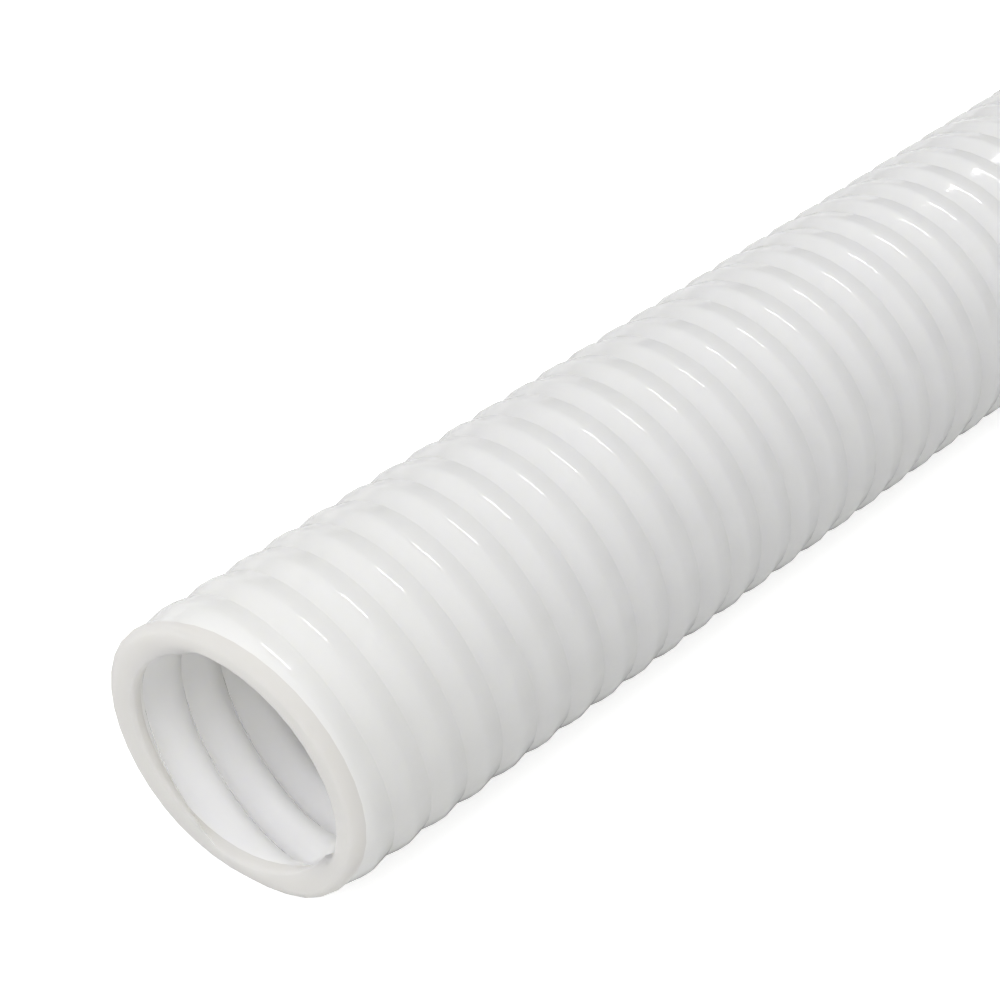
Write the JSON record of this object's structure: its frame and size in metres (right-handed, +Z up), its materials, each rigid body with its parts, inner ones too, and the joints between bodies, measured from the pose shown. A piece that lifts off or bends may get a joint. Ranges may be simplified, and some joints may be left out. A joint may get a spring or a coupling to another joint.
{
  "type": "corrugated conduit",
  "caption": "Straight length of pliable white plastic conduit with a thick corrugated wall, open at both ends; the near end is cut slightly aslant by hand.",
  "frame": {"origin": "on the floor under the middle of the tube, the bottom centre of its bounding box", "axes": "+X along the tube, from the end nearest in the picture to the far end; +Z up; the tube lies on its crests"},
  "size_m": [1, 0.032, 0.032],
  "materials": {
    "conduit": "white pliable PVC, smooth and glossy, faintly translucent"
  },
  "bodies": {
    "root": {"conduit": "conduit"}
  },
  "joints": []
}
